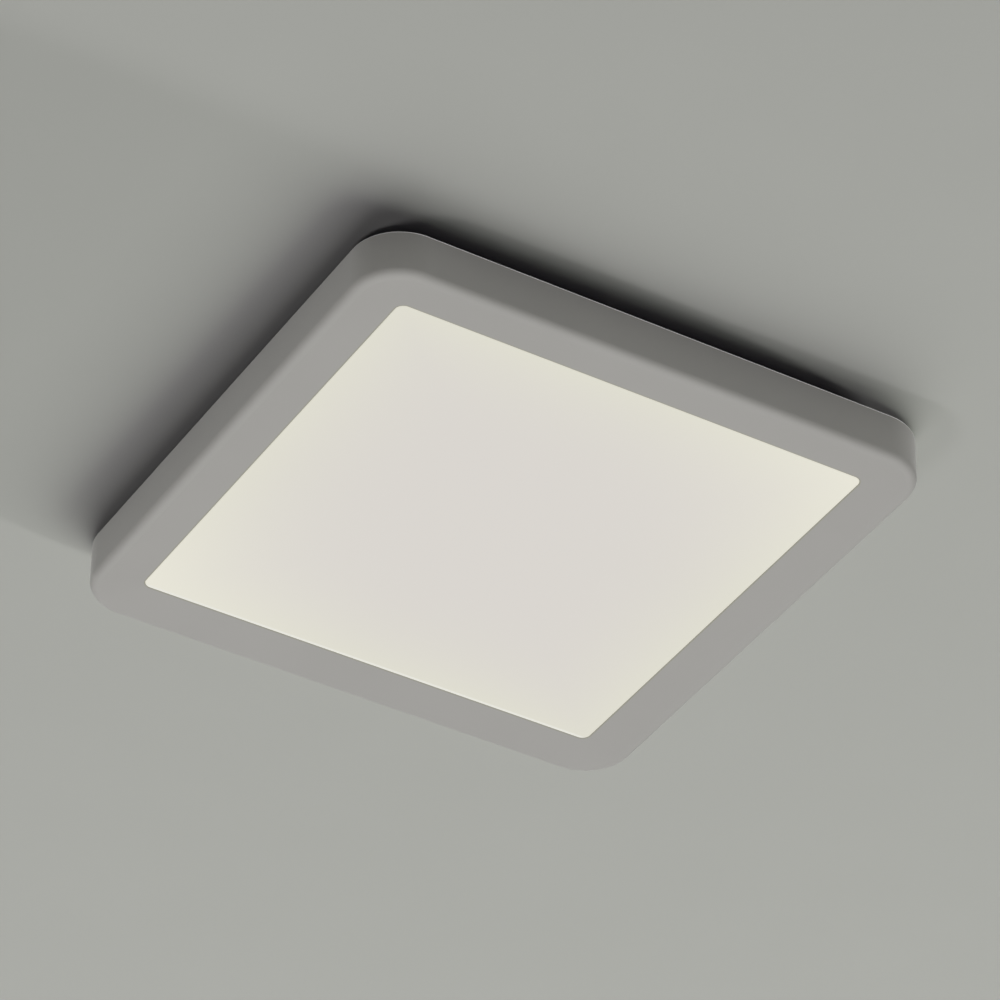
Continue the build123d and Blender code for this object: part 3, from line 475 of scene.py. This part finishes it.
shank_sides = 20


def shank_below(tree, size):
    """A fastener's shank, hanging down from its head."""
    middle = math_node(tree, "MULTIPLY", size["Shank length"], -0.5)
    return upright_bar(tree, shank_sides, size["Shank radius"], size["Shank length"], middle)


def cut_shape(tree, operation, first, *others):
    """A boolean of one shape with others."""
    node = add_node(tree, "GeometryNodeMeshBoolean", operation=operation, solver="EXACT")
    tree.links.new(first, node.inputs["Mesh 1" if operation == "DIFFERENCE" else "Mesh 2"])
    for other in others:
        tree.links.new(other, node.inputs["Mesh 2"])
    return node.outputs[0]


spin_seed = 7


def stamp(tree, shapes, size, end, tilt, spin):
    """Ends a tree: joins the shapes and puts them on every point, as one real mesh with its finish."""
    whole = add_node(tree, "GeometryNodeJoinGeometry")
    for shape in shapes:
        tree.links.new(shape, whole.inputs[0])
    spin_range = {"Min": 0.0, "Max": spin, "Seed": spin_seed}
    angle = add_node(tree, "FunctionNodeRandomValue", spin_range, data_type="FLOAT").outputs[1]
    turned = add_node(tree, "ShaderNodeCombineXYZ", {"X": tilt, "Z": angle}).outputs[0]
    set_down = {"Points": size["Geometry"], "Instance": whole.outputs[0], "Rotation": turned}
    copies = add_node(tree, "GeometryNodeInstanceOnPoints", set_down).outputs[0]
    real = add_node(tree, "GeometryNodeRealizeInstances", {"Geometry": copies}).outputs[0]
    painted = add_node(tree, "GeometryNodeSetMaterial", {"Geometry": real, "Material": size["Finish"]})
    tree.links.new(painted.outputs[0], end["Geometry"])


sharp_angle = math.radians(32)


def grow(name, tree, points, finish, body, slot, replaced, **sizes):
    """Runs a geometry tree on points and leaves a plain smooth mesh that rides on a body."""
    mesh = bpy.data.meshes.new(name)
    mesh.from_pydata(points, [], [])
    piece = bpy.data.objects.new(name, mesh)
    bpy.context.scene.collection.objects.link(piece)
    modifier = piece.modifiers.new("shape", "NODES")
    modifier.node_group = tree
    labels = {item.name: item.identifier for item in tree.interface.items_tree if item.in_out == "INPUT"}
    modifier[labels["Finish"]] = finish
    for label, value in sizes.items():
        modifier[labels[label.replace("_", " ")]] = value
    grown = bpy.data.meshes.new_from_object(piece.evaluated_get(bpy.context.evaluated_depsgraph_get()))
    piece.modifiers.clear()
    piece.data = grown
    grown.shade_smooth()
    grown.set_sharp_from_angle(angle=sharp_angle)
    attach(piece, body)
    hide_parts(*replaced)


screw_head_height = 0.0018
screw_head_sides = 40
screw_head_rings = 20
screw_dome_widen = 1.12

screw_tree, size, screw_end = shape_tree(
    "pan head screws",
    Head_radius=0.0028,
    Head_height=screw_head_height,
    Shank_radius=0.00125,
    Shank_length=0.006,
    Recess_width=0.0034,
    Recess_slot=0.0008,
    Recess_depth=0.0011,
)
half_head = math_node(screw_tree, "MULTIPLY", size["Head height"], 0.5)
disc = upright_bar(screw_tree, screw_head_sides, size["Head radius"], size["Head height"], half_head)
dome = flat_dome(screw_tree, size, screw_head_sides, screw_head_rings, screw_dome_widen)
head = cut_shape(screw_tree, "INTERSECT", disc, dome)
arm_height = math_node(screw_tree, "MULTIPLY", size["Recess depth"], 2.0)
arms = []
for long_way, short_way in (("X", "Y"), ("Y", "X")):
    arm_sides = {long_way: size["Recess width"], short_way: size["Recess slot"], "Z": arm_height}
    arm_size = add_node(screw_tree, "ShaderNodeCombineXYZ", arm_sides).outputs[0]
    arm = add_node(screw_tree, "GeometryNodeMeshCube", {"Size": arm_size}).outputs[0]
    arms.append(lifted(screw_tree, arm, size["Head height"]))
head = cut_shape(screw_tree, "DIFFERENCE", head, *arms)
stamp(screw_tree, (shank_below(screw_tree, size), head), size, screw_end, tilt=0.0, spin=math.tau)

plating, tree, sockets = new_finish("zinc_fasteners", (0.70, 0.70, 0.69), roughness=0.3, metallic=1.0)
plated = use_effect(tree, grain, Grain_size=0.0005)
tint(tree, sockets, plated["Tone"], (0.76, 0.76, 0.75), (0.58, 0.57, 0.54))
roughen(tree, sockets, plated["Height"], 0.22, 0.42)


def screw_in(name, *replaced):
    """Screws on the lamp that stand where CAD nodes' screws stand."""
    corners = solids_of(*replaced)
    seats = [over_middle(low, high, high.z - screw_head_height) for low, high in corners]
    low, high = corners[0]
    grow(
        name, screw_tree, seats, plating, "lamp", "zinc_fasteners", replaced,
        Head_radius=(high.x - low.x) / 2, Head_height=screw_head_height,
        Shank_length=high.z - low.z - screw_head_height,
    )


screw_in("cover_plate_screws", "back_plate_screws")


# Catches and rivets
# Bent steel uprights, with a window for the spring clips' noses, riveted to the back plate.
# The blind rivets have low domed heads with the broken mandrel's dimple in the middle.
dress(zinc, "catch_left", "catch_right")

rivet_head_sides = 36
rivet_head_rings = 16
dimple_sides = 20
tail_sides = 28
cut_block = 0.02

rivet_tree, size, rivet_end = shape_tree(
    "blind rivets",
    Head_radius=0.0026,
    Head_height=0.0009,
    Shank_radius=0.0015,
    Shank_length=0.002,
    Tail_height=0.0009,
    Dimple_radius=0.0009,
    Turned_over=0.0,
)
dome = flat_dome(rivet_tree, size, rivet_head_sides, rivet_head_rings, widen=1.0)
block = add_node(rivet_tree, "GeometryNodeMeshCube", {"Size": (cut_block, cut_block, cut_block)}).outputs[0]
head = cut_shape(rivet_tree, "INTERSECT", dome, lifted(rivet_tree, block, cut_block / 2))
head_top = size["Head height"]
dimple = upright_bar(rivet_tree, dimple_sides, size["Dimple radius"], size["Head height"], head_top)
head = cut_shape(rivet_tree, "DIFFERENCE", head, dimple)
tail_sockets = {
    "Vertices": tail_sides,
    "Radius Top": size["Head radius"],
    "Radius Bottom": size["Shank radius"],
    "Depth": size["Tail height"],
}
tail = add_node(rivet_tree, "GeometryNodeMeshCone", tail_sockets).outputs[0]
tail_end = math_node(rivet_tree, "ADD", size["Shank length"], size["Tail height"])
tail_down = lifted(rivet_tree, tail, math_node(rivet_tree, "MULTIPLY", tail_end, -1.0))
half_turn = math_node(rivet_tree, "MULTIPLY", size["Turned over"], math.pi)
rivet_shapes = (shank_below(rivet_tree, size), tail_down, head)
stamp(rivet_tree, rivet_shapes, size, rivet_end, tilt=half_turn, spin=0.0)

alloy, tree, sockets = new_finish("rivet_alloy", (0.66, 0.67, 0.68), roughness=0.34, metallic=1.0)
struck = use_effect(tree, grain, Grain_size=0.0008)
tint(tree, sockets, struck["Tone"], (0.74, 0.75, 0.76), (0.54, 0.55, 0.56))
roughen(tree, sockets, struck["Height"], 0.25, 0.45)

dimple_share = 0.45


def rivet_up(name, node, slot, head_height, tail_height, shank_radius):
    """Rivets on the lamp with their heads up, where a CAD node's rivets stand."""
    corners = solids_of(node)
    seats = [over_middle(low, high, high.z - head_height) for low, high in corners]
    low, high = corners[0]
    grow(
        name, rivet_tree, seats, alloy, "lamp", slot, (node,),
        Head_radius=(high.x - low.x) / 2, Head_height=head_height, Tail_height=tail_height,
        Shank_radius=shank_radius, Shank_length=high.z - low.z - head_height - tail_height,
        Dimple_radius=dimple_share * shank_radius,
    )


rivet_up(
    "catch_blind_rivets", "catch_rivets", "zinc_fasteners",
    head_height=0.0009, tail_height=0.0009, shank_radius=0.0015,
)
rivet_up(
    "angle_blind_rivets", "carrier_rivets", "aluminium",
    head_height=0.0008, tail_height=0.0008, shank_radius=0.0012,
)


# LED driver
# White moulded tray and vented lid on two screw ears; inside, a tan board with its wound and canned parts.
# Dust lies on the lid, which faces up to the ceiling.
plastic_dust_matte = 0.3


def moulded(name, colour, deep, grain_size, dust_amount):
    """Moulded plastic with its grain, flow marks and, on upper faces, some dust."""
    material, tree, sockets = new_finish(name, colour, roughness=0.5, specular=0.35)
    grained = use_effect(tree, grain, Grain_size=grain_size)
    dusty = use_effect(tree, dust, Amount=dust_amount)["Mask"]
    tint(tree, sockets, dusty, blend_colours(tree, grained["Tone"], colour, deep), dust_grey)
    clean_gloss = spread(tree, grained["Height"], 0.4, 0.56)
    dusty_gloss = math_node(tree, "MULTIPLY_ADD", dusty, plastic_dust_matte, clean_gloss)
    tree.links.new(dusty_gloss, sockets["Roughness"])
    raise_surface(tree, sockets, grained["Height"], depth=0.00004, strength=0.4)
    return material


white_plastic = moulded(
    "white_plastic", (0.80, 0.80, 0.77), (0.74, 0.74, 0.71), grain_size=0.0005, dust_amount=0.5
)
dress(white_plastic, "driver_tray", "driver_cover")
screw_in("driver_ear_screws", "driver_screws")

laminate, tree, sockets = new_finish("driver_laminate", (0.45, 0.32, 0.14), roughness=0.5)
fibres = use_effect(tree, lines, Along=200.0, Across=900.0)
fibre_mix = math_node(tree, "MULTIPLY", fibres["X lines"], fibres["Y lines"])
tint(tree, sockets, fibre_mix, (0.40, 0.27, 0.11), (0.54, 0.39, 0.18))
dress(laminate, "driver_board")

can_sleeve, tree, sockets = new_finish("capacitor_can", (0.16, 0.17, 0.22), roughness=0.35)
can_wrap = use_effect(tree, lines, Along=60.0, Across=1400.0)["Y lines"]
tint(tree, sockets, can_wrap, (0.08, 0.09, 0.14), (0.20, 0.21, 0.27))
dress(can_sleeve, "driver_capacitors")

for name, colour, deep, grain_size, parts in (
    ("ferrite", (0.075, 0.075, 0.08), (0.05, 0.05, 0.055), 0.0004, ("driver_transformer", "driver_choke")),
    ("component_yellow", (0.74, 0.56, 0.08), (0.62, 0.46, 0.06), 0.0006, ("driver_film_capacitor",)),
    ("component_black", (0.045, 0.045, 0.048), (0.03, 0.03, 0.032), 0.0003, ("driver_chips",)),
):
    dress(moulded(name, colour, deep, grain_size, dust_amount=0.1), *parts)


# Terminal block
# White moulded body with brass clamps in its three bores and an orange release button over each.
# Two screws through its ears hold it to the back plate; the buttons spring up by themselves.
dress(white_plastic, "terminal_body")
screw_in("terminal_ear_screws", "terminal_screws")
button_orange = moulded(
    "button_orange", (0.76, 0.27, 0.045), (0.66, 0.22, 0.035), grain_size=0.0004, dust_amount=0.15
)
dress(button_orange, *[f"terminal_button_{pole}" for pole in ("live", "neutral", "earth")])

brass, tree, sockets = new_finish("brass", (0.74, 0.56, 0.27), roughness=0.3, metallic=1.0)
tarnish = use_effect(tree, grain, Grain_size=0.003)["Tone"]
tint(tree, sockets, tarnish, (0.80, 0.62, 0.30), (0.56, 0.41, 0.20))
roughen(tree, sockets, tarnish, 0.22, 0.46)
dress(brass, "terminal_contacts", "earth_tag")


# Leads and lead grommet
# Stranded copper in coloured insulation: brown and blue to the driver, green and yellow to the earth tag.
# The thin red and black pair leaves the driver for the LED strips through a rubber grommet.
dress(lead_finish("brown_lead", (0.19, 0.085, 0.04)), "live_lead")
dress(lead_finish("blue_lead", (0.05, 0.16, 0.46)), "neutral_lead")
dress(lead_finish("earth_lead", (0.16, 0.40, 0.06), (0.78, 0.66, 0.06)), "earth_lead")
dress(lead_finish("red_lead", (0.55, 0.04, 0.03)), "dc_lead_positive")
dress(lead_finish("black_lead", (0.025, 0.025, 0.027)), "dc_lead_negative")
screw_in("earth_clamp_screw", "earth_screw")

rubber, tree, sockets = new_finish("black_rubber", (0.035, 0.035, 0.036), roughness=0.7, specular=0.3)
bloom = use_effect(tree, grain, Grain_size=0.0009)
rubber_dust = use_effect(tree, dust, Amount=0.35)["Mask"]
rubber_tone = blend_colours(tree, bloom["Tone"], (0.03, 0.03, 0.031), (0.055, 0.054, 0.053))
tint(tree, sockets, rubber_dust, rubber_tone, dust_grey)
roughen(tree, sockets, bloom["Tone"], 0.6, 0.8)
raise_surface(tree, sockets, bloom["Height"], depth=0.00006, strength=0.5)
dress(rubber, "lead_grommet")


# Ceiling bracket, cable grommet and spring clips
# Folded galvanised channel that two screws hold to the ceiling, with a rubber grommet in its dished inlet.
# A blued leaf spring is riveted under each end, and its nose snaps into a catch on the lamp.
dress(zinc, "mounting_bracket")
dress(rubber, "cable_grommet")

blued, tree, sockets = new_finish("spring_steel", (0.26, 0.28, 0.33), roughness=0.3, metallic=1.0)
rolled = use_effect(tree, lines, Along=40.0, Across=2200.0)["X lines"]
tint(tree, sockets, rolled, (0.20, 0.22, 0.28), (0.36, 0.37, 0.40))
roughen(tree, sockets, rolled, 0.22, 0.42)
dress(blued, "spring_clip_left", "spring_clip_right")

clip_rivet_head = 0.0009
clip_corners = solids_of("clip_rivets")
clip_seats = [over_middle(low, high, low.z + clip_rivet_head) for low, high in clip_corners]
clip_low, clip_high = clip_corners[0]
grow(
    "clip_blind_rivets", rivet_tree, clip_seats, alloy, "ceiling_bracket", "zinc_fasteners", ("clip_rivets",),
    Head_radius=(clip_high.x - clip_low.x) / 2, Head_height=clip_rivet_head, Tail_height=0.0,
    Shank_radius=0.0015, Shank_length=clip_high.z - clip_low.z - clip_rivet_head,
    Dimple_radius=0.0007, Turned_over=1.0,
)


# Studio ceiling and floor
# A plain painted ceiling carries the light and takes its shadow; a pale floor lies far below.
# The ceiling is see-through from above, so that the back of the light can be looked at.
def flat_stage(name, side, height, finish, downwards):
    """A large square that faces up or down."""
    reach = side / 2
    corners = [(x * reach, y * reach, height) for x, y in ((-1, -1), (1, -1), (1, 1), (-1, 1))]
    mesh = bpy.data.meshes.new(name)
    mesh.from_pydata(corners, [], [(3, 2, 1, 0) if downwards else (0, 1, 2, 3)])
    mesh.materials.append(finish)
    stage = bpy.data.objects.new(name, mesh)
    bpy.context.scene.collection.objects.link(stage)
    return stage


def mix_surface(tree, mask, first, second, output):
    """Shows the first shader where a mask is 0 and the second where it is 1."""
    mix = add_node(tree, "ShaderNodeMixShader", {0: mask, 1: first.outputs[0], 2: second.outputs[0]})
    tree.links.new(mix.outputs[0], tree.nodes[output].inputs["Surface"])


ceiling_tone = (0.4235, 0.430, 0.398)
ceiling_tone_light = (0.4265, 0.433, 0.401)
ceiling_tone_deep = (0.4185, 0.425, 0.393)
ceiling_clearance = 0.0002

ceiling_paint, tree, sockets = new_finish("ceiling_paint", ceiling_tone, roughness=0.9, specular=0.0)
roller = use_effect(tree, grain, Grain_size=0.002)["Tone"]
tint(tree, sockets, roller, ceiling_tone_light, ceiling_tone_deep)
from_above = tree.nodes.new("ShaderNodeNewGeometry").outputs["Backfacing"]
clear = tree.nodes.new("ShaderNodeBsdfTransparent")
mix_surface(tree, from_above, tree.nodes["Principled BSDF"], clear, "Material Output")
ceiling = flat_stage("ceiling", side=8.0, height=ceiling_clearance, finish=ceiling_paint, downwards=True)
ceiling.visible_shadow = False
ceiling.visible_glossy = False

pale_grey = (0.80, 0.80, 0.79)


def seen_paths(tree):
    """1 for a ray from the camera, straight or by way of metal or clear acrylic, and 0 for bounced light."""
    paths = tree.nodes.new("ShaderNodeLightPath").outputs
    mirrored = math_node(tree, "MAXIMUM", paths["Is Glossy Ray"], paths["Is Transmission Ray"])
    unbounced = math_node(tree, "LESS_THAN", paths["Diffuse Depth"], 0.5)
    mirrored_only = math_node(tree, "MULTIPLY", mirrored, unbounced)
    return math_node(tree, "MAXIMUM", paths["Is Camera Ray"], mirrored_only)


floor_paint, tree, sockets = new_finish("floor_paint", (0.78, 0.78, 0.77), roughness=0.9, specular=0.1)
floor_tone = use_effect(tree, grain, Grain_size=0.01)["Tone"]
tint(tree, sockets, floor_tone, (0.79, 0.79, 0.78), (0.77, 0.77, 0.76))
floor_pale = add_node(tree, "ShaderNodeEmission", {"Color": opaque(pale_grey), "Strength": 1.0})
mix_surface(tree, seen_paths(tree), tree.nodes["Principled BSDF"], floor_pale, "Material Output")
floor_paint.cycles.emission_sampling = "NONE"
floor = flat_stage("floor", side=60.0, height=-10.0, finish=floor_paint, downwards=False)
floor.visible_diffuse = False
floor.visible_shadow = False


# Light and camera
# Soft windows and a low lamp shine on the ceiling, a glow from below and a side fill on the light itself.
# Two more, from above, show its back. The camera stands where the photograph was taken from.
def add_light(name, kind, energy, turn, receivers):
    """A light that the camera doesn't see. It lights these objects alone, and everything casts its shadow."""
    lamp = bpy.data.lights.new(name, kind)
    lamp.energy = energy
    light = bpy.data.objects.new(name, lamp)
    bpy.context.scene.collection.objects.link(light)
    light.rotation_euler = turn
    light.visible_camera = False
    lit = bpy.data.collections.new(f"lit_by_{name}")
    for receiver in receivers:
        lit.objects.link(receiver)
    light.light_linking.receiver_collection = lit
    return light


def add_sun(name, strength, aim, width, receivers):
    """A far light that shines along a direction, soft in its edges by a width in degrees."""
    turn = Vector(aim).to_track_quat("-Z", "Y").to_euler()
    sun = add_light(name, "SUN", strength, turn, receivers)
    sun.data.angle = math.radians(width)
    sun.data.cycles.use_multiple_importance_sampling = False
    return sun


window_depth = 7.0
cool_light = (1.02, 0.988, 1.04)
warm_light = (0.981, 1.011, 0.962)
facing_ceiling = (math.pi, 0.0, 0.0)
# A window's spans are shares of its depth below the ceiling, measured from the middle of the light.
for name, watts, colour, span_x, span_y in (
    ("left_window", 117.0, cool_light, (-0.80, -0.346), (0.548, 0.653)),
    ("near_window", 1271.0, cool_light, (0.052, 0.80), (0.271, 4.50)),
    ("far_window", 9388.0, warm_light, (0.76, 3.25), (0.083, 4.50)),
):
    window = add_light(name, "AREA", watts, facing_ceiling, [ceiling])
    window.location = Vector((sum(span_x) / 2, sum(span_y) / 2, -1.0)) * window_depth
    window.data.color = colour
    window.data.shape = "RECTANGLE"
    window.data.size = (span_x[1] - span_x[0]) * window_depth
    window.data.size_y = (span_y[1] - span_y[0]) * window_depth

low_turn = math.radians(6.3)
low_rise = math.radians(5.4)
low_reach = math.cos(low_rise)
low_aim = (-math.cos(low_turn) * low_reach, -math.sin(low_turn) * low_reach, math.sin(low_rise))
low_lamp = add_sun("low_lamp", strength=2.57, aim=low_aim, width=3.8, receivers=[ceiling])
low_lamp.data.color = cool_light

stages = (ceiling, floor)
pieces = [piece for piece in bpy.context.scene.objects if piece.type == "MESH" and piece not in stages]
front_pieces = [nodes["housing"], nodes["diffuser"]]
piece_groups = {
    "front": front_pieces,
    "rear": [piece for piece in pieces if piece not in front_pieces],
}
# Suns whose receivers overlap only in part come out wrong in some runs, so each group has suns of its own.
for name, strength, aim, width, lit_groups in (
    ("back_sky", 0.8, (0.0, 0.0, -1.0), 130, ("rear",)),
    ("glow_below", 2.33, (0.0, 0.05, 1.0), 98, ("front", "rear")),
    ("side_fill", 0.22, (0.62, -0.75, -0.12), 50, ("front", "rear")),
    ("back_sun", 1.4, (-0.35, 0.0, -0.94), 15, ("front", "rear")),
):
    for group in lit_groups:
        piece_light = add_sun(f"{name}_{group}", strength, aim, width, piece_groups[group])
        piece_light.data.cycles.max_bounces = 0

shadow_fill = (1.08, 1.0, 1.25)
shadow_fill_strength = 0.03

world = bpy.data.worlds.new("studio")
bpy.context.scene.world = world
world.use_nodes = True
tree = world.node_tree
soft_sockets = {"Color": opaque(shadow_fill), "Strength": shadow_fill_strength}
soft = add_node(tree, "ShaderNodeBackground", soft_sockets)
pale = add_node(tree, "ShaderNodeBackground", {"Color": opaque(pale_grey), "Strength": 1.0})
mix_surface(tree, seen_paths(tree), soft, pale, "World Output")

view_azimuth = math.radians(30.145)
view_rise = math.radians(37.30)
view_roll = math.radians(0.793)
view_distance = 2.569
view_aim = Vector((-0.0119, -0.0224, -0.024))
image_pixels = 1000
focal_pixels = 5454.3

level_reach = math.cos(view_rise)
looking = Vector((
    math.sin(view_azimuth) * level_reach,
    math.cos(view_azimuth) * level_reach,
    math.sin(view_rise),
))
level = Vector((math.cos(view_azimuth), -math.sin(view_azimuth), 0.0))
upright = level.cross(looking)
right = level * math.cos(view_roll) + upright * math.sin(view_roll)
up = upright * math.cos(view_roll) - level * math.sin(view_roll)
camera_data = bpy.data.cameras.new("camera")
camera_data.sensor_width = 36.0
camera_data.lens = focal_pixels / image_pixels * camera_data.sensor_width
camera_data.clip_end = 100.0
camera = bpy.data.objects.new("camera", camera_data)
bpy.context.scene.collection.objects.link(camera)
camera_turn = Matrix((right, up, -looking)).transposed().to_4x4()
camera.matrix_world = Matrix.Translation(view_aim - looking * view_distance) @ camera_turn
bpy.context.scene.camera = camera
bpy.context.scene.view_settings.view_transform = "Standard"
